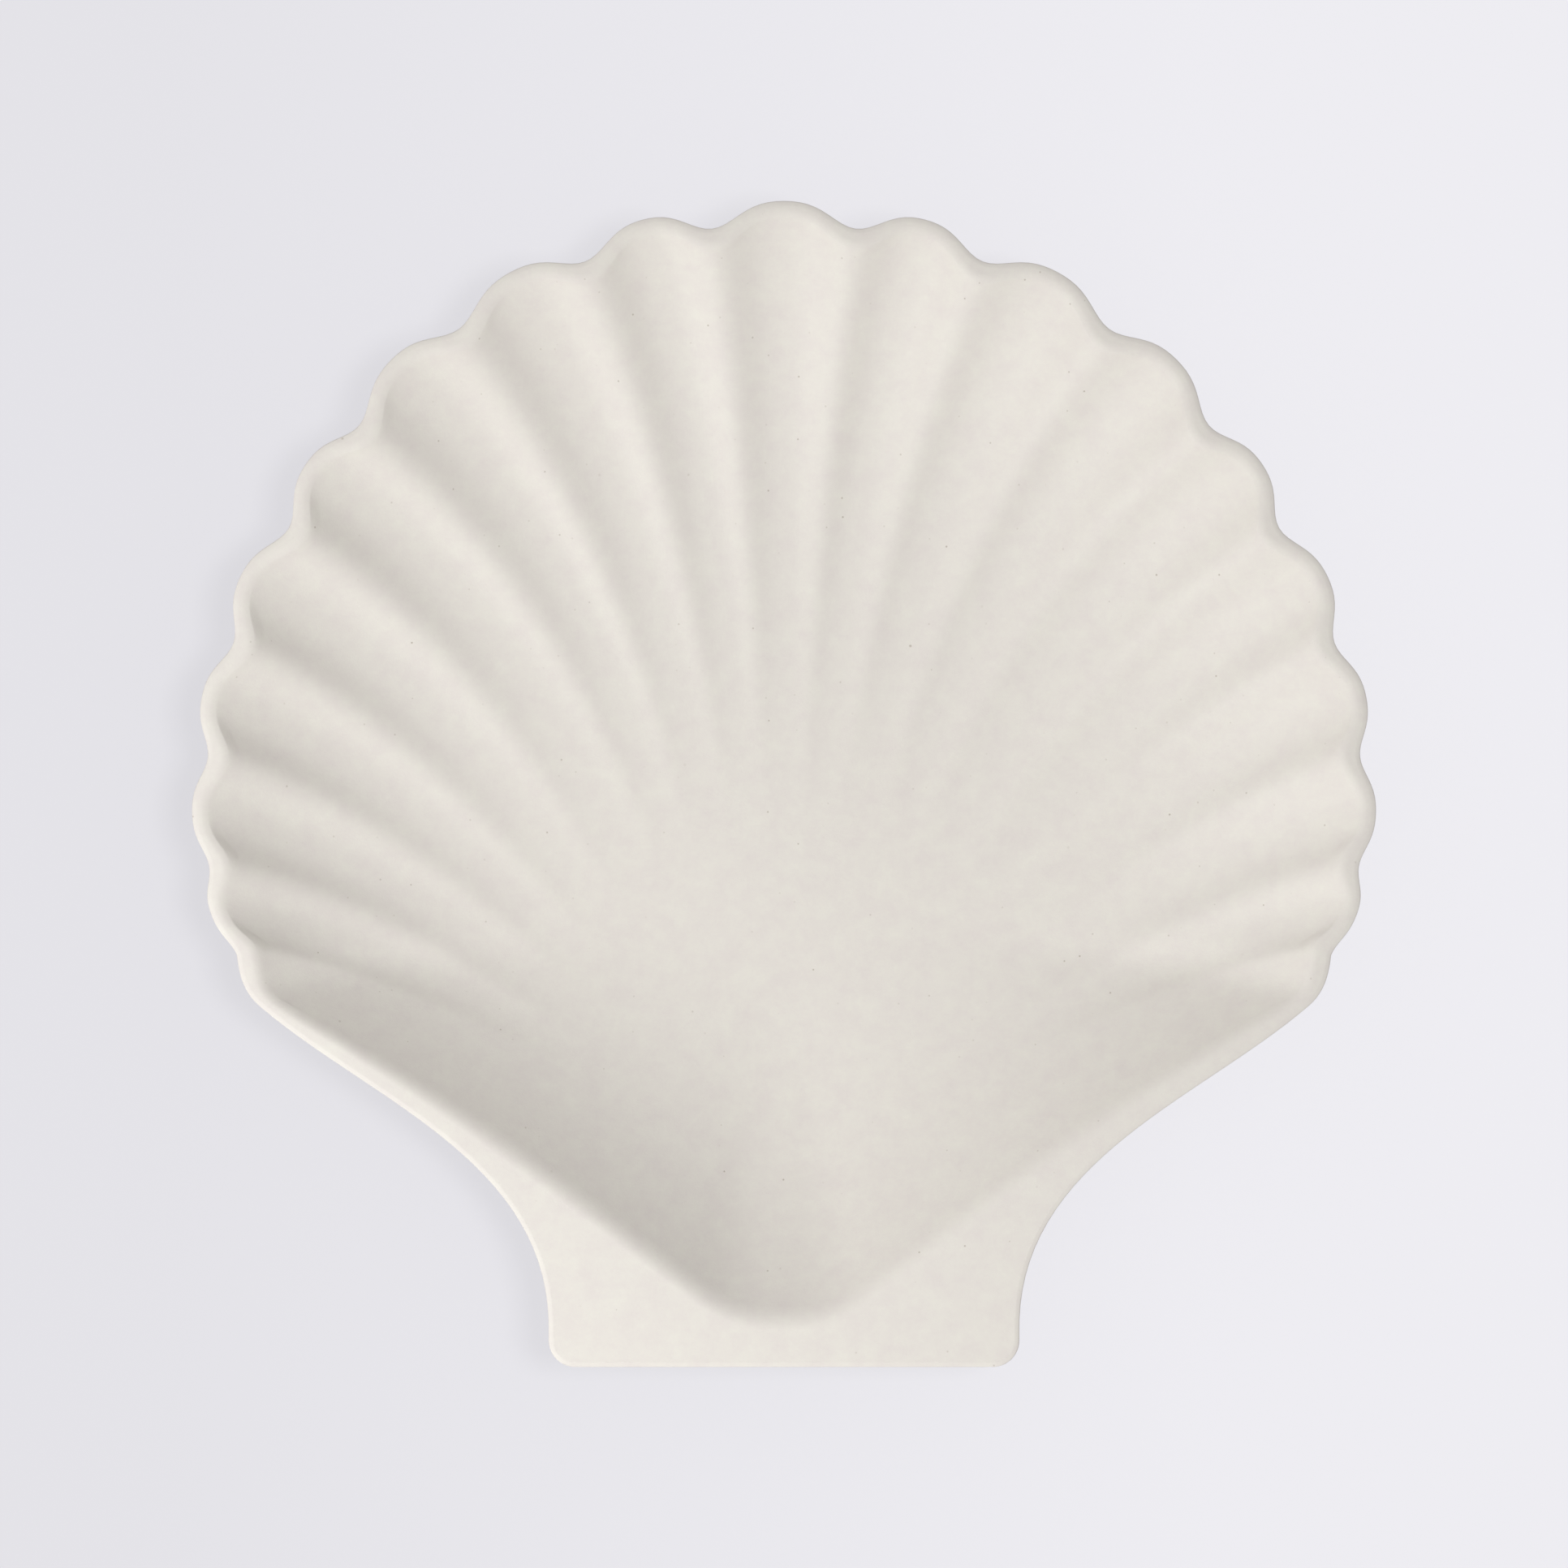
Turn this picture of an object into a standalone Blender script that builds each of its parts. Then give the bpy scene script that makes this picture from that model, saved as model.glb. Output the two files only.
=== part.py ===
"""Shell shaped serving platter: one moulded stoneware piece.

A shallow scallop bowl with nineteen flutes that run from a scalloped rim towards
the hinge, a level rounded rim, and a flat tab across the hinge side.
Frame: +Z up, +Y from the tab to the middle lobe, +X to the right seen from above.
The origin is under the middle of the plan, on the plane that the foot stands on.
"""
import math

import bmesh
import bpy
import numpy as np

for item in list(bpy.data.objects):
    bpy.data.objects.remove(item)

# Driving dimensions, metres and degrees
FAN_RADIUS = 0.1491
LOBE_HEIGHT = 0.0059
TAB_HALF_WIDTH = 0.0598
TAB_LAND = 0.0121
TAB_CORNER_RADIUS = 0.0068
BOWL_DEPTH = 0.0300
WALL_THICKNESS = 0.0036
RIM_WIDTH = 0.0033
FOOT_RADIUS = 0.0580
FOOT_WIDTH = 0.0060
FOOT_HEIGHT = 0.0028
FOOT_SETBACK = 0.0080
FOOT_SINK = 0.0008

# Fan layout: angle between neighbouring ridges, rim radius at each ridge and height of
# each lobe against the middle one, and the direction of each ridge where it fades out
RIDGE_STEPS = (7.0, 12.9, 14.1, 13.75, 12.5, 12.75, 11.6, 10.9, 9.25)
RIDGE_REACH = (1.0, 0.996, 0.991, 0.978, 0.972, 0.981, 0.986, 0.981, 0.964)
LOBE_REACH = (1.0, 0.96, 0.91, 0.89, 0.84, 0.84, 0.68, 0.52, 0.28)
RIDGE_ROOTS = (3.1, 9.15, 15.65, 22.45, 31.35, 40.4, 48.6, 57.0, 64.6)

# Section of the bowl: power of its wall at the sides, and what is added towards the fan
WALL_POWER = 3.5
FAN_WALL_POWER = 0.45

# Flutes, along a ray from the hinge: where they begin, the share of their depth that
# grows all the way with its power, the power of the rest, and how ridges bend outwards
FLUTE_START = 0.35
FLUTE_LONG_SHARE = 0.6
FLUTE_LONG_POWER = 1.6
FLUTE_END_POWER = 18
RIDGE_BEND_START = 0.5
RIDGE_BEND_POWER = 1.7

# Mesh density
COLUMNS_PER_LOBE = 8
SIDE_COLUMNS = 24
RINGS_LONG = (0.0, 0.15, 0.32, 0.46, 0.57, 0.67, 0.76, 0.84, 0.91, 0.965)
RINGS_SHORT = (0.0, 0.13, 0.26, 0.38, 0.48, 0.57, 0.65, 0.73, 0.80, 0.87)
OPEN_RINGS = 4

# Lengths that follow from the driving ones; the fan centre is the local origin here
HINGE = np.array([0.0, -0.622 * FAN_RADIUS])
BOWL_CENTRE = np.array([0.0, -0.166 * FAN_RADIUS])
FAN_CORNER = np.array([0.885 * FAN_RADIUS, -0.334 * FAN_RADIUS])
BOWL_CORNER = FAN_CORNER - np.array([3.35, 1.27]) * RIM_WIDTH
BOWL_TIP = np.array([0.0, -0.866 * FAN_RADIUS])
TAB_LENGTH = TAB_LAND - BOWL_TIP[1]
RIDGE_RIM_WIDTH = 1.4 * RIM_WIDTH
RIM_EDGE_RADIUS = 0.32 * RIM_WIDTH
LIP_RADIUS = 0.3 * WALL_THICKNESS + 0.02 * BOWL_DEPTH
LIP_SOFTNESS = 0.8 * LIP_RADIUS


def through(values, place):
    """Smooth curve through evenly spaced values, at a place counted from the first."""
    last = len(values) - 1
    start = min(max(int(math.floor(place)), 0), last - 1)
    part = place - start
    before = values[start - 1] if start > 0 else 2 * values[0] - values[1]
    after = values[start + 2] if start + 2 <= last else 2 * values[last] - values[last - 1]
    rise_in = (values[start + 1] - before) / 2
    rise_out = (after - values[start]) / 2
    climb = values[start + 1] - values[start]
    square = part * part * (3 * climb - 2 * rise_in - rise_out)
    cube = part * part * part * (rise_in + rise_out - 2 * climb)
    return values[start] + part * rise_in + square + cube


def bezier(points, share):
    """Point on a cubic curve given by its two ends and two handles."""
    rest = 1 - share
    weights = (rest ** 3, 3 * rest * rest * share, 3 * rest * share * share, share ** 3)
    return sum(weight * np.array(point) for weight, point in zip(weights, points))


def along(path, share):
    """Point at a share of the length of a path of points."""
    path = np.array(path)
    steps = np.hypot(np.diff(path[:, 0]), np.diff(path[:, 1]))
    reached = np.concatenate([[0.0], np.cumsum(steps)])
    target = share * reached[-1]
    return np.array([np.interp(target, reached, path[:, 0]), np.interp(target, reached, path[:, 1])])


def turned(angle):
    """Unit direction at an angle from +Y towards +X."""
    return np.array([math.sin(angle), math.cos(angle)])


ridge_angles = np.radians(np.cumsum(RIDGE_STEPS))
ridge_angles = np.concatenate([[-ridge_angles[0]], ridge_angles])
ridge_roots = np.radians(np.concatenate([[-RIDGE_ROOTS[0]], RIDGE_ROOTS]))
ridge_reach = np.concatenate([[RIDGE_REACH[0]], RIDGE_REACH])


def lobe_shape(lobe):
    """Outline of a lobe between two ridges: round crown, rounded notches."""
    return 0.5 + 0.5 * math.cos(2 * math.pi * lobe) + 0.15 * math.sin(2 * math.pi * lobe) ** 2


def fan_point(lobe, inset, ridge_inset, crown):
    """Point of a fluted edge; lobe counts flutes from the middle one, crown 0 leaves them out."""
    angle = through(ridge_angles, lobe + 0.5)
    radius = FAN_RADIUS * through(ridge_reach, lobe + 0.5) - ridge_inset
    height = LOBE_HEIGHT * through(LOBE_REACH, lobe) + ridge_inset - inset
    return (radius + crown * height * lobe_shape(lobe)) * turned(angle)


# Lower outline: round the corner lobe, down the slanting edge, round the tab
fan_end = fan_point(8.5, 0.0, 0.0, 1.0)
tab_top = 1.5 * TAB_CORNER_RADIUS - TAB_LENGTH
corner_curve = (
    fan_end,
    fan_end + np.array([-0.004, -0.058]) * FAN_RADIUS,
    FAN_CORNER + np.array([0.040, 0.037]) * FAN_RADIUS,
    FAN_CORNER,
)
slant_curve = (
    FAN_CORNER,
    FAN_CORNER + np.array([-0.168, -0.158]) * FAN_RADIUS,
    (TAB_HALF_WIDTH, tab_top + 0.302 * FAN_RADIUS),
    (TAB_HALF_WIDTH, tab_top),
)
outer_path = [bezier(corner_curve, step / 12) for step in range(12)]
outer_path += [bezier(slant_curve, step / 40) for step in range(41)]
tab_centre = np.array([TAB_HALF_WIDTH - TAB_CORNER_RADIUS, -TAB_LENGTH + TAB_CORNER_RADIUS])
for step in range(9):
    outer_path.append(tab_centre + TAB_CORNER_RADIUS * turned(math.radians(90 + 90 * step / 8)))
outer_path.append(np.array([0.0, -TAB_LENGTH]))

# Lower edge of the bowl: a long slanting side and a rounded point above the tab
bowl_end = fan_point(8.5, RIM_WIDTH, RIDGE_RIM_WIDTH, 1.0)
side_foot = BOWL_TIP + np.array([0.342 * TAB_HALF_WIDTH, 0.044 * FAN_RADIUS])
turn_curve = (
    bowl_end,
    bowl_end + np.array([-0.014, -0.050]) * FAN_RADIUS,
    BOWL_CORNER + np.array([0.045, 0.024]) * FAN_RADIUS,
    BOWL_CORNER,
)
side_curve = (
    BOWL_CORNER,
    BOWL_CORNER + np.array([-0.334, -0.176]) * FAN_RADIUS,
    side_foot + np.array([0.688 * TAB_HALF_WIDTH, 0.199 * FAN_RADIUS]),
    side_foot,
)
tip_curve = (
    side_foot,
    side_foot + np.array([-0.045, -0.032]) * FAN_RADIUS,
    BOWL_TIP + np.array([0.060, 0.0]) * FAN_RADIUS,
    BOWL_TIP,
)
inner_path = [bezier(turn_curve, step / 8) for step in range(8)]
inner_path += [bezier(side_curve, step / 30) for step in range(30)]
inner_path += [bezier(tip_curve, step / 10) for step in range(11)]

# One column of points for each place along the rim, from the middle lobe to the tab;
# the stops pair the corner lobe, the slant, the tab's side and corner, and its front
fan_columns = int(8.5 * COLUMNS_PER_LOBE)
lobes = [step / COLUMNS_PER_LOBE for step in range(fan_columns + 1)]
shares = [step / SIDE_COLUMNS for step in range(1, SIDE_COLUMNS + 1)]
column_stops = (0.0, 0.21, 0.63, 0.67, 0.84, 1.0)
outer_stops = (0.0, 0.081, 0.655, 0.672, 0.729, 1.0)
inner_stops = (0.0, 0.09, 0.70, 0.715, 0.776, 1.0)
outer_edge = [fan_point(lobe, 0.0, 0.0, 1.0) for lobe in lobes]
outer_edge += [along(outer_path, np.interp(share, column_stops, outer_stops)) for share in shares]
inner_edge = [fan_point(lobe, RIM_WIDTH, RIDGE_RIM_WIDTH, 1.0) for lobe in lobes]
inner_edge += [along(inner_path, np.interp(share, column_stops, inner_stops)) for share in shares]
plain_edge = [fan_point(lobe, RIM_WIDTH, RIDGE_RIM_WIDTH, 0.0) for lobe in lobes]
plain_edge += inner_edge[fan_columns + 1:]

# Plain bowl: depth against the distance from the bowl's middle to its edge without lobes
plain_angles = [math.atan2(*(point - BOWL_CENTRE)) for point in plain_edge]
plain_reach = [math.hypot(*(point - BOWL_CENTRE)) for point in plain_edge]


def plain_height(point):
    """Height of the bowl without flutes, with the rim plane at zero."""
    offset = point - BOWL_CENTRE
    angle = abs(math.atan2(*offset))
    distance = math.hypot(*offset) / np.interp(angle, plain_angles, plain_reach)
    return -BOWL_DEPTH * (1 - distance ** (WALL_POWER + FAN_WALL_POWER * math.cos(angle)))


def softened(height):
    """Round the edge where the wall of the bowl meets the level rim."""
    overlap = max(LIP_SOFTNESS - abs(height), 0.0)
    return min(height, 0.0) - overlap * overlap / (4 * LIP_SOFTNESS)


def edge_normal(edge, index):
    """Outward direction across an edge at one of its points."""
    if index in (0, len(edge) - 1):
        return np.array([0.0, 1.0 if index == 0 else -1.0])
    run = edge[index + 1] - edge[index - 1]
    return np.array([-run[1], run[0]]) / math.hypot(*run)


def root_angle(index):
    """Direction from the hinge that a column settles to before the flutes fade out."""
    rim = inner_edge[index] - HINGE
    if index <= fan_columns:
        return through(ridge_roots, lobes[index] + 0.5)
    bend = math.atan2(*(inner_edge[fan_columns] - HINGE)) - ridge_roots[-1]
    return math.atan2(*rim) - bend * max(0.0, 1 - (index - fan_columns) / 6)


def column(index):
    """Points of one column from the hinge out to the rim."""
    rim = inner_edge[index] - HINGE
    length = math.hypot(*rim)
    rim_angle = math.atan2(*rim)
    root = root_angle(index)
    flute = plain_height(inner_edge[index])
    across = edge_normal(inner_edge, index)
    reach = float(np.dot(rim, across))
    long_share = min(max((reach / FAN_RADIUS - 0.2) / 0.6, 0.0), 1.0)
    rings = [near + (far - near) * long_share for near, far in zip(RINGS_SHORT, RINGS_LONG)]
    points = []
    for ring in rings + [1 - LIP_RADIUS / reach]:
        flare = max((ring - RIDGE_BEND_START) / (1 - RIDGE_BEND_START), 0.0) ** RIDGE_BEND_POWER
        point = HINGE + ring * length * turned(root + (rim_angle - root) * flare)
        grown = max((ring - FLUTE_START) / (1 - FLUTE_START), 0.0)
        depth = FLUTE_LONG_SHARE * grown ** FLUTE_LONG_POWER
        depth += (1 - FLUTE_LONG_SHARE) * grown ** FLUTE_END_POWER
        points.append((*point, softened(plain_height(point) - depth * flute)))
    for shift in (0.0, LIP_RADIUS):
        point = inner_edge[index] + shift * across
        points.append((*point, softened(plain_height(point) - flute)))
    points.append((*outer_edge[index], 0.0))
    return points


# Platter: right half of the upper skin from a grid, one grid line for each column
column_count = len(outer_edge)
columns = [column(index) for index in range(column_count)]
ring_count = len(columns[0])
middle_y = (fan_point(0.0, 0.0, 0.0, 1.0)[1] - TAB_LENGTH) / 2
rim_height = BOWL_DEPTH + WALL_THICKNESS + FOOT_HEIGHT

platter_mesh = bpy.data.meshes.new("shell_platter")
skin = bmesh.new()
bmesh.ops.create_grid(skin, x_segments=column_count - 1, y_segments=ring_count - 1, size=1.0)


def grid_place(vertex):
    """Column and ring of a grid point."""
    index = round((vertex.co.x + 1) / 2 * (column_count - 1))
    ring = round((vertex.co.y + 1) / 2 * (ring_count - 1))
    return index, ring


# The columns crowd together at the hinge, so every other one stops at an inner ring
spare = []
for edge in skin.edges:
    places = [grid_place(vertex) for vertex in edge.verts]
    if all(index % 2 == 1 and ring <= OPEN_RINGS for index, ring in places):
        spare.append(edge)
bmesh.ops.dissolve_edges(skin, edges=spare, use_verts=True)
for vertex in skin.verts:
    index, ring = grid_place(vertex)
    x, y, z = columns[index][ring]
    if index in (0, column_count - 1):
        x = 0.0
    vertex.co = (x, y - middle_y, z + rim_height)
bmesh.ops.remove_doubles(skin, verts=skin.verts, dist=1e-6)
bmesh.ops.recalc_face_normals(skin, faces=skin.faces)
if sum(face.normal.z for face in skin.faces) < 0:
    bmesh.ops.reverse_faces(skin, faces=skin.faces)
for face in skin.faces:
    face.smooth = True
skin.to_mesh(platter_mesh)
skin.free()

platter = bpy.data.objects.new("shell_platter", platter_mesh)
platter_group = bpy.data.collections.new("shell_platter")
bpy.context.scene.collection.children.link(platter_group)
platter_group.objects.link(platter)

mirror = platter.modifiers.new("other_half", "MIRROR")
mirror.use_axis = (True, False, False)
mirror.use_clip = True
mirror.merge_threshold = 0.00001

shell = platter.modifiers.new("wall", "SOLIDIFY")
shell.thickness = WALL_THICKNESS
shell.offset = -1.0
shell.use_quality_normals = True

rounding = platter.modifiers.new("rim_edges", "BEVEL")
rounding.width = RIM_EDGE_RADIUS
rounding.segments = 2
rounding.use_clamp_overlap = False
rounding.limit_method = "ANGLE"
rounding.angle_limit = math.radians(60)

# Foot: a low plain ring, thrown together with the underside of the bowl
foot_mesh = bpy.data.meshes.new("foot_ring")
foot_top = FOOT_HEIGHT + 0.6 * WALL_THICKNESS + FOOT_SINK
foot_profile = bmesh.new()
corners = [
    foot_profile.verts.new((FOOT_RADIUS - FOOT_WIDTH, 0.0, 0.0)),
    foot_profile.verts.new((FOOT_RADIUS, 0.0, 0.0)),
    foot_profile.verts.new((FOOT_RADIUS, 0.0, foot_top)),
    foot_profile.verts.new((FOOT_RADIUS - FOOT_WIDTH, 0.0, foot_top)),
]
profile_edges = [foot_profile.edges.new((corners[step], corners[(step + 1) % 4])) for step in range(4)]
bmesh.ops.spin(
    foot_profile,
    geom=corners + profile_edges,
    cent=(0.0, 0.0, 0.0),
    axis=(0.0, 0.0, 1.0),
    angle=2 * math.pi,
    steps=64,
    use_merge=True,
)
bmesh.ops.recalc_face_normals(foot_profile, faces=foot_profile.faces)
foot_profile.to_mesh(foot_mesh)
foot_profile.free()

foot = bpy.data.objects.new("foot_ring", foot_mesh)
foot.location = (0.0, -FOOT_SETBACK, 0.0)
foot.hide_render = True
foot.display_type = "WIRE"
helpers = bpy.data.collections.new("helpers")
bpy.context.scene.collection.children.link(helpers)
helpers.objects.link(foot)

joined = platter.modifiers.new("foot", "BOOLEAN")
joined.operation = "UNION"
joined.solver = "EXACT"
joined.object = foot

# Stoneware: warm off-white matt body
stoneware = bpy.data.materials.new("stoneware")
stoneware.use_nodes = True
surface = stoneware.node_tree.nodes["Principled BSDF"]
surface.inputs["Base Color"].default_value = (0.73, 0.69, 0.64, 1.0)
surface.inputs["Roughness"].default_value = 0.7
platter.data.materials.append(stoneware)
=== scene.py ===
"""Shell shaped serving platter on a pale floor, seen from straight above.

One moulded stoneware piece: a scallop bowl with nineteen flutes, a level rounded rim,
a flat tab at the hinge side and a low foot ring. Metres, +Z up, +Y towards the middle lobe.
"""
import math

import bmesh
import bpy
import numpy as np
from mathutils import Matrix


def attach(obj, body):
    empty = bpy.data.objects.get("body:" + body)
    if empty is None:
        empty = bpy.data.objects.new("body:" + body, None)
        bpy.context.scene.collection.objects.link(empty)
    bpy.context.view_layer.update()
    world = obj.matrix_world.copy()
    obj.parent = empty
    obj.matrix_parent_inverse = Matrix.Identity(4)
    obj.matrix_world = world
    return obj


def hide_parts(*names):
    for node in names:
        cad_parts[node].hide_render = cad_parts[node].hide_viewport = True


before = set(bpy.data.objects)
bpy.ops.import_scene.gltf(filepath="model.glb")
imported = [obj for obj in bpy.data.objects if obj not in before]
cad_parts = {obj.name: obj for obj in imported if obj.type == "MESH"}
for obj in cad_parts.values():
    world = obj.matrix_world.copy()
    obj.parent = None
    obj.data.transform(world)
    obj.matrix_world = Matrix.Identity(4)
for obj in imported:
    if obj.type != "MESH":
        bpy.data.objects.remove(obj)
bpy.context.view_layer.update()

# Body of the platter
# Pressed stoneware, satin and warm off-white: bowl, flutes, rim and tab in one wall.
# The right half of the upper skin is shaped first, then mirrored and given its wall.
FAN_RADIUS = 0.1491
LOBE_HEIGHT = 0.0059
TAB_HALF_WIDTH = 0.0598
TAB_LAND = 0.0121
TAB_CORNER_RADIUS = 0.0068
BOWL_DEPTH = 0.0300
WALL_THICKNESS = 0.0036
FOOT_HEIGHT = 0.0028
RIM_WIDTH = 0.0033
RIDGE_RIM_WIDTH = 1.4 * RIM_WIDTH
LOWER_EDGE_RADIUS = 0.0008
MERGE_DISTANCE = 0.000001

# Lip: half the width of its rounded inner edge, at the fan and along the slant, where it
# widens as shares of the way from the fan to the front of the tab, and its outer edge as
# distance in from the outline and drop below the rim
FAN_LIP_WIDTH = 0.0016
SLANT_LIP_WIDTH = 0.0028
LIP_WIDENING = (0.25, 0.5)
LIP_RINGS = 6
OUTER_LIP = (
    (0.00135, 0.0),
    (0.00105, 0.00004),
    (0.00070, 0.00012),
    (0.00035, 0.00021),
    (0.00012, 0.00030),
    (0.0, 0.00050),
)

# Bowl wall: how late it rises, how much later towards the middle lobe, and the least
# upward part of the skin's normal that the wall's thickness is divided by
WALL_POWER = 3.5
FAN_WALL_POWER = 0.45
LEAST_NORMAL_Z = 0.5

# Flutes, along a ray from the hinge: where they begin, the share of their depth that
# grows all the way with its power, the power of the rest, and how ridges bend outwards
FLUTE_START = 0.35
FLUTE_LONG_SHARE = 0.85
FLUTE_LONG_POWER = 1.9
FLUTE_END_POWER = 18
RIDGE_BEND_START = 0.5
RIDGE_BEND_POWER = 1.7

# Fan layout: angle between neighbouring ridges, rim radius at each ridge, height of
# each lobe against the middle one, direction of each ridge where it fades out, and how
# full a lobe's crown is
RIDGE_STEPS = (7.0, 12.9, 14.1, 13.75, 12.5, 12.75, 11.6, 10.9, 9.25)
RIDGE_REACH = (1.0, 0.996, 0.991, 0.978, 0.972, 0.981, 0.986, 0.984, 0.964)
LOBE_REACH = (1.0, 0.96, 0.91, 0.89, 0.84, 0.84, 0.68, 0.56, 0.42)
RIDGE_ROOTS = (3.1, 9.15, 15.65, 22.45, 31.35, 40.4, 48.6, 57.0, 64.6)
CROWN_FULLNESS = 0.15
FAN_END = 8.5

# Mesh: columns run from the hinge to the rim, those past the fan settle to their own
# direction within a few, and rings crowd together towards the rim
COLUMNS_PER_LOBE = 20
SIDE_COLUMNS = 72
SETTLING_COLUMNS = 15
RINGS = 44
RING_CROWDING = 1.35
UNDERSIDE_SWEEPS = 12

# The fan centre is the origin of the outline; the hinge is where the ridges meet
HINGE = np.array([0.0, -0.622 * FAN_RADIUS])
BOWL_CENTRE = np.array([0.0, -0.166 * FAN_RADIUS])
FAN_CORNER = np.array([0.895 * FAN_RADIUS, -0.331 * FAN_RADIUS])
BOWL_CORNER = FAN_CORNER - np.array([3.90, 1.36]) * RIM_WIDTH
BOWL_TIP = np.array([0.0, -0.866 * FAN_RADIUS])
TAB_LENGTH = TAB_LAND - BOWL_TIP[1]


def through(values, place):
    """Smooth curve through evenly spaced values, at a place counted from the first."""
    last = len(values) - 1
    start = min(max(int(math.floor(place)), 0), last - 1)
    part = place - start
    before = values[start - 1] if start > 0 else 2 * values[0] - values[1]
    after = values[start + 2] if start + 2 <= last else 2 * values[last] - values[last - 1]
    rise_in = (values[start + 1] - before) / 2
    rise_out = (after - values[start]) / 2
    climb = values[start + 1] - values[start]
    square = part * part * (3 * climb - 2 * rise_in - rise_out)
    cube = part * part * part * (rise_in + rise_out - 2 * climb)
    return values[start] + part * rise_in + square + cube


def bezier(points, share):
    """Point on a cubic curve given by its two ends and two handles."""
    rest = 1 - share
    weights = (rest ** 3, 3 * rest * rest * share, 3 * rest * share * share, share ** 3)
    return sum(weight * np.array(point) for weight, point in zip(weights, points))


def curve_points(points, count):
    """Evenly counted points on a cubic curve, from its start to just before its end."""
    return [bezier(points, step / count) for step in range(count)]


def along(path, share):
    """Point at a share of the length of a path of points."""
    path = np.array(path)
    steps = np.hypot(np.diff(path[:, 0]), np.diff(path[:, 1]))
    reached = np.concatenate([[0.0], np.cumsum(steps)])
    target = share * reached[-1]
    return np.array([np.interp(target, reached, path[:, 0]), np.interp(target, reached, path[:, 1])])


def turned(angle):
    """Unit direction at an angle from +Y towards +X."""
    return np.array([math.sin(angle), math.cos(angle)])


ridge_angles = np.radians(np.cumsum(RIDGE_STEPS))
ridge_angles = np.concatenate([[-ridge_angles[0]], ridge_angles])
ridge_roots = np.radians(np.concatenate([[-RIDGE_ROOTS[0]], RIDGE_ROOTS]))
ridge_reach = np.concatenate([[RIDGE_REACH[0]], RIDGE_REACH])


def lobe_shape(lobe):
    """Outline of a lobe between two ridges: round crown, rounded notches."""
    turn = 2 * math.pi * lobe
    return 0.5 + 0.5 * math.cos(turn) + CROWN_FULLNESS * math.sin(turn) ** 2


def fan_point(lobe, inset, ridge_inset, crown):
    """Point of a fluted edge; lobe counts flutes from the middle one, crown 0 leaves them out."""
    angle = through(ridge_angles, lobe + 0.5)
    radius = FAN_RADIUS * through(ridge_reach, lobe + 0.5) - ridge_inset
    height = LOBE_HEIGHT * through(LOBE_REACH, lobe) + ridge_inset - inset
    return (radius + crown * height * lobe_shape(lobe)) * turned(angle)


# Outline below the fan: round the corner lobe, down the slanting edge, round the tab
fan_end = fan_point(FAN_END, 0.0, 0.0, 1.0)
tab_top = 1.5 * TAB_CORNER_RADIUS - TAB_LENGTH
corner_curve = (
    fan_end,
    fan_end + np.array([-0.004, -0.036]) * FAN_RADIUS,
    FAN_CORNER + np.array([0.025, 0.022]) * FAN_RADIUS,
    FAN_CORNER,
)
slant_curve = (
    FAN_CORNER,
    FAN_CORNER + np.array([-0.185, -0.160]) * FAN_RADIUS,
    (TAB_HALF_WIDTH, tab_top + 0.284 * FAN_RADIUS),
    (TAB_HALF_WIDTH, tab_top),
)
outer_path = curve_points(corner_curve, 30) + curve_points(slant_curve, 90)
outer_path.append(np.array(slant_curve[-1]))
tab_centre = np.array([TAB_HALF_WIDTH - TAB_CORNER_RADIUS, -TAB_LENGTH + TAB_CORNER_RADIUS])
for angle in np.linspace(90, 180, 25):
    outer_path.append(tab_centre + TAB_CORNER_RADIUS * turned(math.radians(angle)))
outer_path.append(np.array([0.0, -TAB_LENGTH]))

# Edge of the bowl below the fan: a tight turn, a long slant, a rounded point above the tab
bowl_end = fan_point(FAN_END, RIM_WIDTH, RIDGE_RIM_WIDTH, 1.0)
side_foot = BOWL_TIP + np.array([0.346 * TAB_HALF_WIDTH, 0.042 * FAN_RADIUS])
turn_curve = (
    bowl_end,
    bowl_end + np.array([-0.014, -0.068]) * FAN_RADIUS,
    BOWL_CORNER + np.array([0.095, 0.056]) * FAN_RADIUS,
    BOWL_CORNER,
)
side_curve = (
    BOWL_CORNER,
    BOWL_CORNER + np.array([-0.299, -0.175]) * FAN_RADIUS,
    side_foot + np.array([0.667 * TAB_HALF_WIDTH, 0.202 * FAN_RADIUS]),
    side_foot,
)
tip_curve = (
    side_foot,
    side_foot + np.array([-0.045, -0.032]) * FAN_RADIUS,
    BOWL_TIP + np.array([0.060, 0.0]) * FAN_RADIUS,
    BOWL_TIP,
)
inner_path = curve_points(turn_curve, 20) + curve_points(side_curve, 70)
inner_path += curve_points(tip_curve, 24)
inner_path.append(BOWL_TIP)

# One column of points for each place along the rim, from the middle lobe to the tab;
# the stops pair the corner lobe, the slant, the tab's side and corner, and its front
fan_columns = int(FAN_END * COLUMNS_PER_LOBE)
lobes = [step / COLUMNS_PER_LOBE for step in range(fan_columns + 1)]
shares = [step / SIDE_COLUMNS for step in range(1, SIDE_COLUMNS + 1)]
column_stops = (0.0, 0.21, 0.63, 0.67, 0.84, 1.0)
outer_stops = (0.0, 0.081, 0.655, 0.672, 0.729, 1.0)
inner_stops = (0.0, 0.09, 0.70, 0.715, 0.776, 1.0)
outer_edge = [fan_point(lobe, 0.0, 0.0, 1.0) for lobe in lobes]
outer_edge += [along(outer_path, np.interp(share, column_stops, outer_stops)) for share in shares]
inner_edge = [fan_point(lobe, RIM_WIDTH, RIDGE_RIM_WIDTH, 1.0) for lobe in lobes]
inner_edge += [along(inner_path, np.interp(share, column_stops, inner_stops)) for share in shares]
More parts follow.
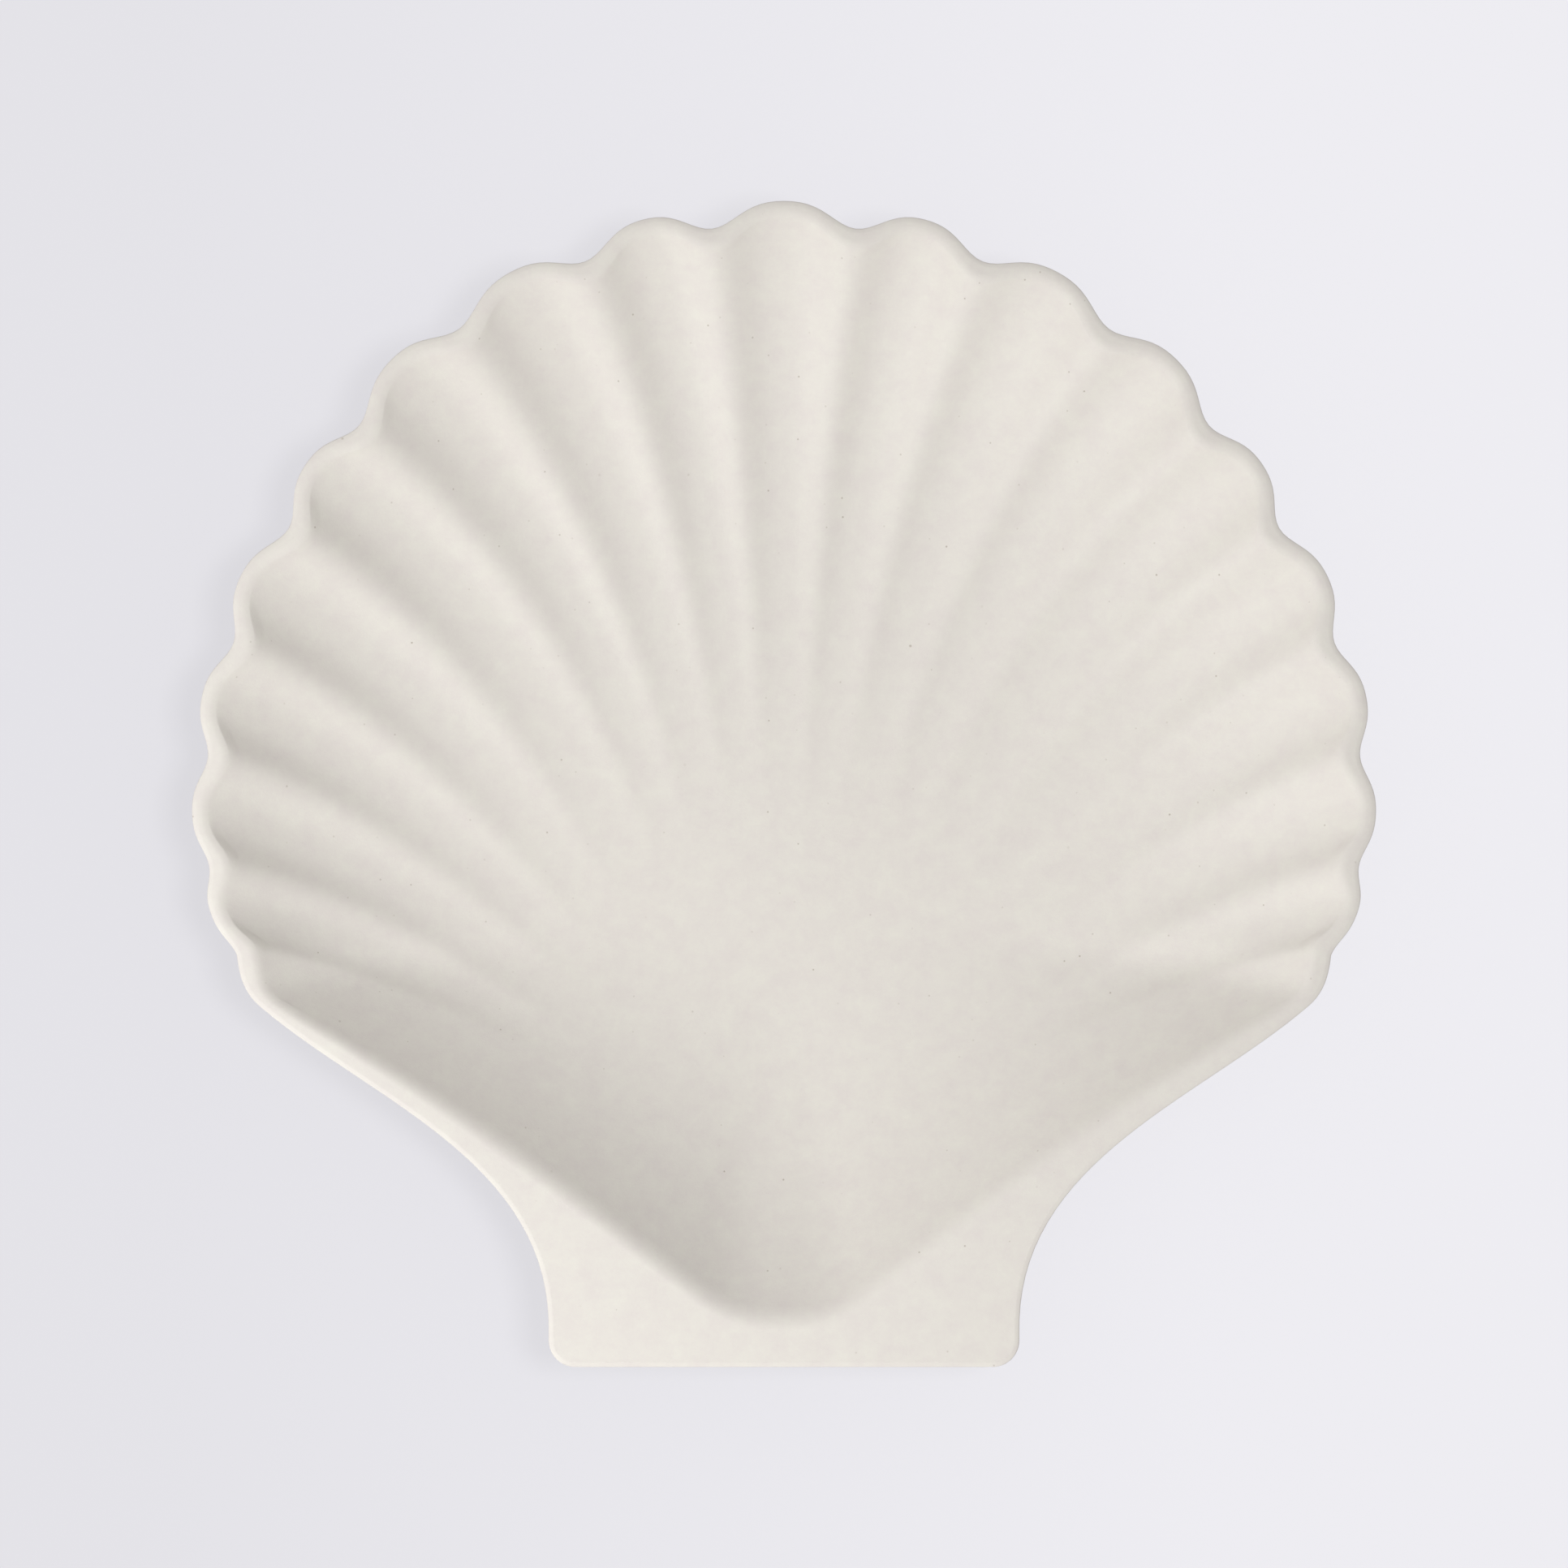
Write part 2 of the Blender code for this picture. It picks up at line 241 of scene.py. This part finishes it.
plain_edge = [fan_point(lobe, RIM_WIDTH, RIDGE_RIM_WIDTH, 0.0) for lobe in lobes]
plain_edge += inner_edge[fan_columns + 1:]

# Plain bowl: depth against the distance from the bowl's middle to its edge without lobes
plain_angles = [math.atan2(*(point - BOWL_CENTRE)) for point in plain_edge]
plain_reach = [math.hypot(*(point - BOWL_CENTRE)) for point in plain_edge]


def plain_height(point):
    """Height of the bowl without flutes, with the rim plane at zero."""
    offset = point - BOWL_CENTRE
    angle = abs(math.atan2(*offset))
    distance = math.hypot(*offset) / np.interp(angle, plain_angles, plain_reach)
    return -BOWL_DEPTH * (1 - distance ** (WALL_POWER + FAN_WALL_POWER * math.cos(angle)))


def flute_depth(ring):
    """Share of its full depth that a flute has at a part of the way from hinge to rim."""
    grown = min(max((ring - FLUTE_START) / (1 - FLUTE_START), 0.0), 1.0)
    long_part = FLUTE_LONG_SHARE * grown ** FLUTE_LONG_POWER
    return long_part + (1 - FLUTE_LONG_SHARE) * grown ** FLUTE_END_POWER


def softened(height, softness):
    """Round the edge where the wall of the bowl meets the level rim."""
    overlap = max(softness - abs(height), 0.0)
    return min(height, 0.0) - overlap * overlap / (4 * softness)


def edge_normal(edge, index):
    """Outward direction across an edge at one of its points."""
    if index in (0, len(edge) - 1):
        return np.array([0.0, 1.0 if index == 0 else -1.0])
    run = edge[index + 1] - edge[index - 1]
    return np.array([-run[1], run[0]]) / math.hypot(*run)


def root_angle(index):
    """Direction from the hinge that a column settles to before the flutes fade out."""
    rim = inner_edge[index] - HINGE
    if index <= fan_columns:
        return through(ridge_roots, lobes[index] + 0.5)
    bend = math.atan2(*(inner_edge[fan_columns] - HINGE)) - ridge_roots[-1]
    settling = max(0.0, 1 - (index - fan_columns) / SETTLING_COLUMNS)
    return math.atan2(*rim) - bend * settling


def column(index):
    """Points of one column from the hinge out to the rim."""
    rim = inner_edge[index] - HINGE
    length = math.hypot(*rim)
    rim_angle = math.atan2(*rim)
    root = root_angle(index)
    flute = plain_height(inner_edge[index])
    across = edge_normal(inner_edge, index)
    reach = float(np.dot(rim, across))
    past_fan = (index - fan_columns) / SIDE_COLUMNS
    lip = np.interp(past_fan, LIP_WIDENING, (FAN_LIP_WIDTH, SLANT_LIP_WIDTH))
    lip_foot = plain_height(inner_edge[index] - lip * across)
    softness = flute_depth(1 - lip / reach) * flute - lip_foot
    points = []
    for step in range(RINGS + 1):
        ring = (1 - (1 - step / RINGS) ** RING_CROWDING) * (1 - lip / reach)
        flare = max((ring - RIDGE_BEND_START) / (1 - RIDGE_BEND_START), 0.0) ** RIDGE_BEND_POWER
        point = HINGE + ring * length * turned(root + (rim_angle - root) * flare)
        points.append((*point, softened(plain_height(point) - flute_depth(ring) * flute, softness)))
    for step in range(1, LIP_RINGS + 1):
        beyond = lip * (2 * step / LIP_RINGS - 1)
        point = inner_edge[index] + beyond * across
        height = plain_height(point) - flute_depth(1 + beyond / reach) * flute
        points.append((*point, softened(height, softness)))
    outward = edge_normal(outer_edge, index)
    for inset, drop in OUTER_LIP:
        points.append((*(outer_edge[index] - inset * outward), -drop))
    return points


column_count = len(outer_edge)
columns = [column(index) for index in range(column_count)]
ring_count = len(columns[0])
middle_y = (fan_point(0.0, 0.0, 0.0, 1.0)[1] - TAB_LENGTH) / 2
rim_height = BOWL_DEPTH + WALL_THICKNESS + FOOT_HEIGHT

body_mesh = bpy.data.meshes.new("platter_body")
skin = bmesh.new()
bmesh.ops.create_grid(skin, x_segments=column_count - 1, y_segments=ring_count - 1, size=1.0)


def grid_place(vertex):
    """Column and ring of a grid point."""
    index = round((vertex.co.x + 1) / 2 * (column_count - 1))
    ring = round((vertex.co.y + 1) / 2 * (ring_count - 1))
    return index, ring


# The columns crowd together at the hinge, so most of them stop at an inner ring
for keep_every, last_ring in ((2, 12), (4, 6), (8, 2)):
    spare = []
    for edge in skin.edges:
        (index, ring), (other_index, other_ring) = [grid_place(vertex) for vertex in edge.verts]
        inner = index == other_index and max(ring, other_ring) <= last_ring
        if inner and index % keep_every and index < column_count - 1:
            spare.append(edge)
    bmesh.ops.dissolve_edges(skin, edges=spare, use_verts=True)
lip_step = skin.verts.layers.int.new("lip_step")
for vertex in skin.verts:
    index, ring = grid_place(vertex)
    vertex[lip_step] = max(ring - ring_count + len(OUTER_LIP) + 1, 0)
    x, y, z = columns[index][ring]
    if index in (0, column_count - 1):
        x = 0.0
    vertex.co = (x, y - middle_y, z + rim_height)
bmesh.ops.remove_doubles(skin, verts=skin.verts, dist=MERGE_DISTANCE)
half = skin.verts[:] + skin.edges[:] + skin.faces[:]
bmesh.ops.mirror(skin, geom=half, merge_dist=MERGE_DISTANCE, axis="X")
bmesh.ops.recalc_face_normals(skin, faces=skin.faces)
if sum(face.normal.z for face in skin.faces) < 0:
    bmesh.ops.reverse_faces(skin, faces=skin.faces)

# Wall: the skin is extruded and its copy let down, more where the wall is steep; under
# the rolled lip it comes to one level, with its outer edge rounded
skin.normal_update()
rim_underside = rim_height - WALL_THICKNESS
drops = {}
for vertex in skin.verts:
    if vertex[lip_step]:
        inset = OUTER_LIP[vertex[lip_step] - 1][0]
        inwards = max(LOWER_EDGE_RADIUS - inset, 0.0)
        lift = LOWER_EDGE_RADIUS - math.sqrt(LOWER_EDGE_RADIUS ** 2 - inwards ** 2)
        drops[tuple(vertex.co)] = vertex.co.z - rim_underside - lift
    else:
        drops[tuple(vertex.co)] = WALL_THICKNESS / max(vertex.normal.z, LEAST_NORMAL_Z)
extruded = bmesh.ops.extrude_face_region(skin, geom=skin.faces[:])
underside = [item for item in extruded["geom"] if isinstance(item, bmesh.types.BMVert)]
for vertex in underside:
    vertex.co.z -= drops[tuple(vertex.co)]
inner_underside = [vertex for vertex in underside
                   if OUTER_LIP[max(vertex[lip_step] - 1, 0)][0] > LOWER_EDGE_RADIUS]
for sweep in range(UNDERSIDE_SWEEPS):
    bmesh.ops.smooth_vert(skin, verts=inner_underside, factor=0.5, use_axis_z=True)
bmesh.ops.recalc_face_normals(skin, faces=skin.faces)
for face in skin.faces:
    face.smooth = True
skin.to_mesh(body_mesh)
skin.free()

body = bpy.data.objects.new("platter_body", body_mesh)
bpy.context.scene.collection.objects.link(body)
body.modifiers.new("even_shading", "WEIGHTED_NORMAL")

# Clay finish, shared by the body and its foot: pale mottling, fine grain and iron specks.
# The specks are a few larger ones and a scatter of fine ones, given as cells to the metre
# and radius, most of them faint.
SPECK_LAYERS = ((90.0, 0.00050), (260.0, 0.00036))
SPECK_CORE = 0.35
SPECK_FAINTNESS = 4.0
NOISE_RANGE = (0.3, 0.7)
CLAY_SHEEN = 0.34
clay = bpy.data.node_groups.new("clay_finish", "ShaderNodeTree")
clay.interface.new_socket("Position", in_out="INPUT", socket_type="NodeSocketVector")
clay.interface.new_socket("Mottle", in_out="OUTPUT", socket_type="NodeSocketFloat")
clay.interface.new_socket("Specks", in_out="OUTPUT", socket_type="NodeSocketFloat")
clay.interface.new_socket("Grain", in_out="OUTPUT", socket_type="NodeSocketFloat")


def clay_node(kind, **values):
    """A node of the clay finish, with its plain values set."""
    node = clay.nodes.new(kind)
    for name, value in values.items():
        if name in node.inputs:
            node.inputs[name].default_value = value
        else:
            setattr(node, name, value)
    return node


clay_in = clay_node("NodeGroupInput")
clay_out = clay_node("NodeGroupOutput")
cloud = clay_node("ShaderNodeTexNoise", Scale=170.0, Detail=6.0, Roughness=0.75)
grain = clay_node("ShaderNodeTexNoise", Scale=1400.0, Detail=3.0, Roughness=0.6)
clay.links.new(clay_in.outputs["Position"], cloud.inputs["Vector"])
clay.links.new(clay_in.outputs["Position"], grain.inputs["Vector"])
clay.links.new(cloud.outputs["Fac"], clay_out.inputs["Mottle"])
clay.links.new(grain.outputs["Fac"], clay_out.inputs["Grain"])

speck_layers = []
for cells_per_metre, speck_radius in SPECK_LAYERS:
    cells = clay_node("ShaderNodeTexVoronoi", Scale=cells_per_metre)
    spot = clay_node("ShaderNodeMapRange", interpolation_type="SMOOTHSTEP")
    spot.inputs["From Min"].default_value = speck_radius * cells_per_metre
    spot.inputs["From Max"].default_value = SPECK_CORE * speck_radius * cells_per_metre
    draw = clay_node("ShaderNodeSeparateColor")
    strength = clay_node("ShaderNodeMath", operation="POWER")
    strength.inputs[1].default_value = SPECK_FAINTNESS
    shade = clay_node("ShaderNodeMath", operation="MULTIPLY")
    clay.links.new(clay_in.outputs["Position"], cells.inputs["Vector"])
    clay.links.new(cells.outputs["Distance"], spot.inputs["Value"])
    clay.links.new(cells.outputs["Color"], draw.inputs["Color"])
    clay.links.new(spot.outputs["Result"], shade.inputs[0])
    clay.links.new(draw.outputs["Red"], strength.inputs[0])
    clay.links.new(strength.outputs["Value"], shade.inputs[1])
    speck_layers.append(shade)
specks = clay_node("ShaderNodeMath", operation="MAXIMUM")
clay.links.new(speck_layers[0].outputs["Value"], specks.inputs[0])
clay.links.new(speck_layers[1].outputs["Value"], specks.inputs[1])
clay.links.new(specks.outputs["Value"], clay_out.inputs["Specks"])


def clay_material(name, pale, deep, speck, roughest, smoothest, grain_height):
    """A clay surface between two tones, with specks, its own roughness and a fine bump."""
    material = bpy.data.materials.new(name)
    material.use_nodes = True
    nodes = material.node_tree.nodes
    links = material.node_tree.links
    surface = nodes["Principled BSDF"]
    place = nodes.new("ShaderNodeTexCoord")
    finish = nodes.new("ShaderNodeGroup")
    finish.node_tree = clay
    tone = nodes.new("ShaderNodeMix")
    tone.data_type = "RGBA"
    tone.inputs["A"].default_value = (*deep, 1.0)
    tone.inputs["B"].default_value = (*pale, 1.0)
    spotted = nodes.new("ShaderNodeMix")
    spotted.data_type = "RGBA"
    spotted.inputs["B"].default_value = (*speck, 1.0)
    spread = nodes.new("ShaderNodeMapRange")
    rough = nodes.new("ShaderNodeMapRange")
    for stretched in (spread, rough):
        stretched.inputs["From Min"].default_value = NOISE_RANGE[0]
        stretched.inputs["From Max"].default_value = NOISE_RANGE[1]
    rough.inputs["To Min"].default_value = smoothest
    rough.inputs["To Max"].default_value = roughest
    bump = nodes.new("ShaderNodeBump")
    bump.inputs["Strength"].default_value = 1.0
    bump.inputs["Distance"].default_value = grain_height
    links.new(place.outputs["Object"], finish.inputs["Position"])
    links.new(finish.outputs["Mottle"], spread.inputs["Value"])
    links.new(spread.outputs["Result"], tone.inputs["Factor"])
    links.new(tone.outputs["Result"], spotted.inputs["A"])
    links.new(finish.outputs["Specks"], spotted.inputs["Factor"])
    links.new(spotted.outputs["Result"], surface.inputs["Base Color"])
    links.new(finish.outputs["Grain"], rough.inputs["Value"])
    links.new(rough.outputs["Result"], surface.inputs["Roughness"])
    links.new(finish.outputs["Grain"], bump.inputs["Height"])
    links.new(bump.outputs["Normal"], surface.inputs["Normal"])
    surface.inputs["Specular IOR Level"].default_value = CLAY_SHEEN
    return material


stoneware = clay_material(
    "stoneware",
    pale=(0.757, 0.731, 0.666),
    deep=(0.713, 0.665, 0.630),
    speck=(0.45, 0.40, 0.34),
    roughest=0.58,
    smoothest=0.46,
    grain_height=0.00003,
)
body.data.materials.append(stoneware)
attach(body, "root")
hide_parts("shell_platter")

# Foot ring
# A low plain ring pressed with the body and rubbed flat on its underside, where the
# bare clay shows a little darker and rougher. Its top is sunk in the wall of the bowl.
FOOT_RADIUS = 0.0580
FOOT_WIDTH = 0.0060
FOOT_MIDDLE_Y = -0.0080
FOOT_EDGE_RADIUS = 0.0008
FOOT_SINK = 0.0008
FOOT_STEPS = 160
foot_top = FOOT_HEIGHT + 0.6 * WALL_THICKNESS + FOOT_SINK
foot_mesh = bpy.data.meshes.new("foot_ring")
ring = bmesh.new()
foot_corners = (
    (FOOT_RADIUS - FOOT_WIDTH, 0.0),
    (FOOT_RADIUS, 0.0),
    (FOOT_RADIUS, foot_top),
    (FOOT_RADIUS - FOOT_WIDTH, foot_top),
)
profile = [ring.verts.new((radius, FOOT_MIDDLE_Y, height)) for radius, height in foot_corners]
profile_edges = [ring.edges.new((profile[step], profile[(step + 1) % 4])) for step in range(4)]
bmesh.ops.spin(
    ring,
    geom=profile + profile_edges,
    cent=(0.0, FOOT_MIDDLE_Y, 0.0),
    axis=(0.0, 0.0, 1.0),
    angle=2 * math.pi,
    steps=FOOT_STEPS,
    use_merge=True,
)
bmesh.ops.recalc_face_normals(ring, faces=ring.faces)
sharp_edges = [edge for edge in ring.edges if edge.calc_face_angle() > 1.0]
standing_edges = [edge for edge in sharp_edges
                  if all(vertex.co.z < MERGE_DISTANCE for vertex in edge.verts)]
bmesh.ops.bevel(
    ring,
    geom=standing_edges,
    offset=FOOT_EDGE_RADIUS,
    affect="EDGES",
    segments=4,
    profile=0.5,
    material=-1,
)
for face in ring.faces:
    face.smooth = True
ring.to_mesh(foot_mesh)
ring.free()
foot = bpy.data.objects.new("foot_ring", foot_mesh)
bpy.context.scene.collection.objects.link(foot)
foot.modifiers.new("even_shading", "WEIGHTED_NORMAL")
bare_clay = clay_material(
    "bare_clay",
    pale=(0.690, 0.645, 0.585),
    deep=(0.640, 0.590, 0.530),
    speck=(0.36, 0.31, 0.26),
    roughest=0.95,
    smoothest=0.82,
    grain_height=0.00006,
)
foot.data.materials.append(bare_clay)
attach(foot, "root")
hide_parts("shell_platter")

# Floor
# Plain pale board, a little lighter towards the right. The camera sees its colour evenly
# lit, with a faint part of the platter's shadow; the platter gets the board's soft glow.
FLOOR_HALF_WIDTH = 4.0
FLOOR_LEFT = (0.790, 0.782, 0.821)
FLOOR_RIGHT = (0.855, 0.847, 0.887)
FLOOR_LEFT_X = -0.158
FLOOR_RIGHT_X = 0.110
FLOOR_GLOW = (0.72, 0.71, 0.74)
SHADOW_SHARE = 0.21
floor_mesh = bpy.data.meshes.new("floor")
board = bmesh.new()
bmesh.ops.create_grid(board, x_segments=1, y_segments=1, size=FLOOR_HALF_WIDTH)
board.to_mesh(floor_mesh)
board.free()
floor = bpy.data.objects.new("floor", floor_mesh)
bpy.context.scene.collection.objects.link(floor)
pale_board = bpy.data.materials.new("pale_board")
pale_board.use_nodes = True
board_nodes = pale_board.node_tree.nodes
board_links = pale_board.node_tree.links
board_nodes.remove(board_nodes["Principled BSDF"])
board_place = board_nodes.new("ShaderNodeTexCoord")
board_split = board_nodes.new("ShaderNodeSeparateXYZ")
across_board = board_nodes.new("ShaderNodeMapRange")
across_board.inputs["From Min"].default_value = FLOOR_LEFT_X
across_board.inputs["From Max"].default_value = FLOOR_RIGHT_X
board_tone = board_nodes.new("ShaderNodeMix")
board_tone.data_type = "RGBA"
board_tone.inputs["A"].default_value = (*FLOOR_LEFT, 1.0)
board_tone.inputs["B"].default_value = (*FLOOR_RIGHT, 1.0)
shown = board_nodes.new("ShaderNodeEmission")
shaded = board_nodes.new("ShaderNodeBsdfDiffuse")
plain = board_nodes.new("ShaderNodeBsdfDiffuse")
plain.inputs["Color"].default_value = (*FLOOR_GLOW, 1.0)
with_shadow = board_nodes.new("ShaderNodeMixShader")
with_shadow.inputs["Fac"].default_value = SHADOW_SHARE
rays = board_nodes.new("ShaderNodeLightPath")
seen_or_mirrored = board_nodes.new("ShaderNodeMath")
seen_or_mirrored.operation = "MAXIMUM"
seen = board_nodes.new("ShaderNodeMath")
seen.operation = "MAXIMUM"
by_ray = board_nodes.new("ShaderNodeMixShader")
board_links.new(board_place.outputs["Object"], board_split.inputs["Vector"])
board_links.new(board_split.outputs["X"], across_board.inputs["Value"])
board_links.new(across_board.outputs["Result"], board_tone.inputs["Factor"])
board_links.new(board_tone.outputs["Result"], shown.inputs["Color"])
board_links.new(board_tone.outputs["Result"], shaded.inputs["Color"])
board_links.new(shown.outputs["Emission"], with_shadow.inputs[1])
board_links.new(shaded.outputs["BSDF"], with_shadow.inputs[2])
board_links.new(rays.outputs["Is Camera Ray"], seen_or_mirrored.inputs[0])
board_links.new(rays.outputs["Is Glossy Ray"], seen_or_mirrored.inputs[1])
board_links.new(seen_or_mirrored.outputs["Value"], seen.inputs[0])
board_links.new(rays.outputs["Is Transmission Ray"], seen.inputs[1])
board_links.new(seen.outputs["Value"], by_ray.inputs["Fac"])
board_links.new(plain.outputs["BSDF"], by_ray.inputs[1])
board_links.new(with_shadow.outputs["Shader"], by_ray.inputs[2])
board_links.new(by_ray.outputs["Shader"], board_nodes["Material Output"].inputs["Surface"])
floor.data.materials.append(pale_board)

# Light
# Soft studio light: a large softbox on the left and towards the tab, a weak low one below
# the tab, an even room, and a fill on the right that only the floor takes.
KEY_DIRECTION = np.array([-0.52, -0.37, 0.77])
KEY_DISTANCE = 0.88
KEY_SIZE = 0.56
KEY_POWER = 4.4
LOW_DIRECTION = np.array([-0.30, -0.85, 0.42])
LOW_DISTANCE = 0.90
LOW_SIZE = 0.50
LOW_POWER = 0.75
FILL_DIRECTION = np.array([0.20, 0.0, 0.98])
FILL_DISTANCE = 1.2
FILL_SIZE = 0.24
FILL_POWER = 6.2
ROOM_LEVEL = 0.58
ROOM_SEEN = (0.815, 0.807, 0.847)
object_only = bpy.data.collections.new("lit_platter")
object_only.objects.link(body)
object_only.objects.link(foot)
floor_only = bpy.data.collections.new("lit_floor")
floor_only.objects.link(floor)


def softbox(name, place, size, power, lit):
    """A square softbox that faces the platter and lights one collection."""
    lamp = bpy.data.lights.new(name, "AREA")
    lamp.shape = "SQUARE"
    lamp.size = size
    lamp.energy = power
    holder = bpy.data.objects.new(name, lamp)
    holder.location = place
    holder.rotation_euler = (-holder.location).to_track_quat("-Z", "Y").to_euler()
    holder.light_linking.receiver_collection = lit
    bpy.context.scene.collection.objects.link(holder)


softbox("key", KEY_DIRECTION * KEY_DISTANCE, KEY_SIZE, KEY_POWER, object_only)
softbox("low", LOW_DIRECTION * LOW_DISTANCE, LOW_SIZE, LOW_POWER, object_only)
softbox("fill", FILL_DIRECTION * FILL_DISTANCE, FILL_SIZE, FILL_POWER, floor_only)

room = bpy.data.worlds.new("room")
room.use_nodes = True
room_nodes = room.node_tree.nodes
room_links = room.node_tree.links
room_light = room_nodes["Background"]
room_light.inputs["Color"].default_value = (1.0, 1.0, 1.0, 1.0)
room_light.inputs["Strength"].default_value = ROOM_LEVEL
room_view = room_nodes.new("ShaderNodeBackground")
room_view.inputs["Color"].default_value = (*ROOM_SEEN, 1.0)
room_rays = room_nodes.new("ShaderNodeLightPath")
room_by_ray = room_nodes.new("ShaderNodeMixShader")
room_links.new(room_rays.outputs["Is Camera Ray"], room_by_ray.inputs["Fac"])
room_links.new(room_light.outputs["Background"], room_by_ray.inputs[1])
room_links.new(room_view.outputs["Background"], room_by_ray.inputs[2])
room_links.new(room_by_ray.outputs["Shader"], room_nodes["World Output"].inputs["Surface"])
bpy.context.scene.world = room

# Camera
# Straight above the middle of the plan, with the tab towards the bottom of the picture.
CAMERA_DISTANCE = 1.106
camera_lens = bpy.data.cameras.new("camera")
camera_lens.lens = 100.0
camera_lens.sensor_width = 36.0
camera = bpy.data.objects.new("camera", camera_lens)
camera.location = (0.0, 0.0, rim_height + CAMERA_DISTANCE)
bpy.context.scene.collection.objects.link(camera)
bpy.context.scene.camera = camera
bpy.context.scene.view_settings.view_transform = "Standard"
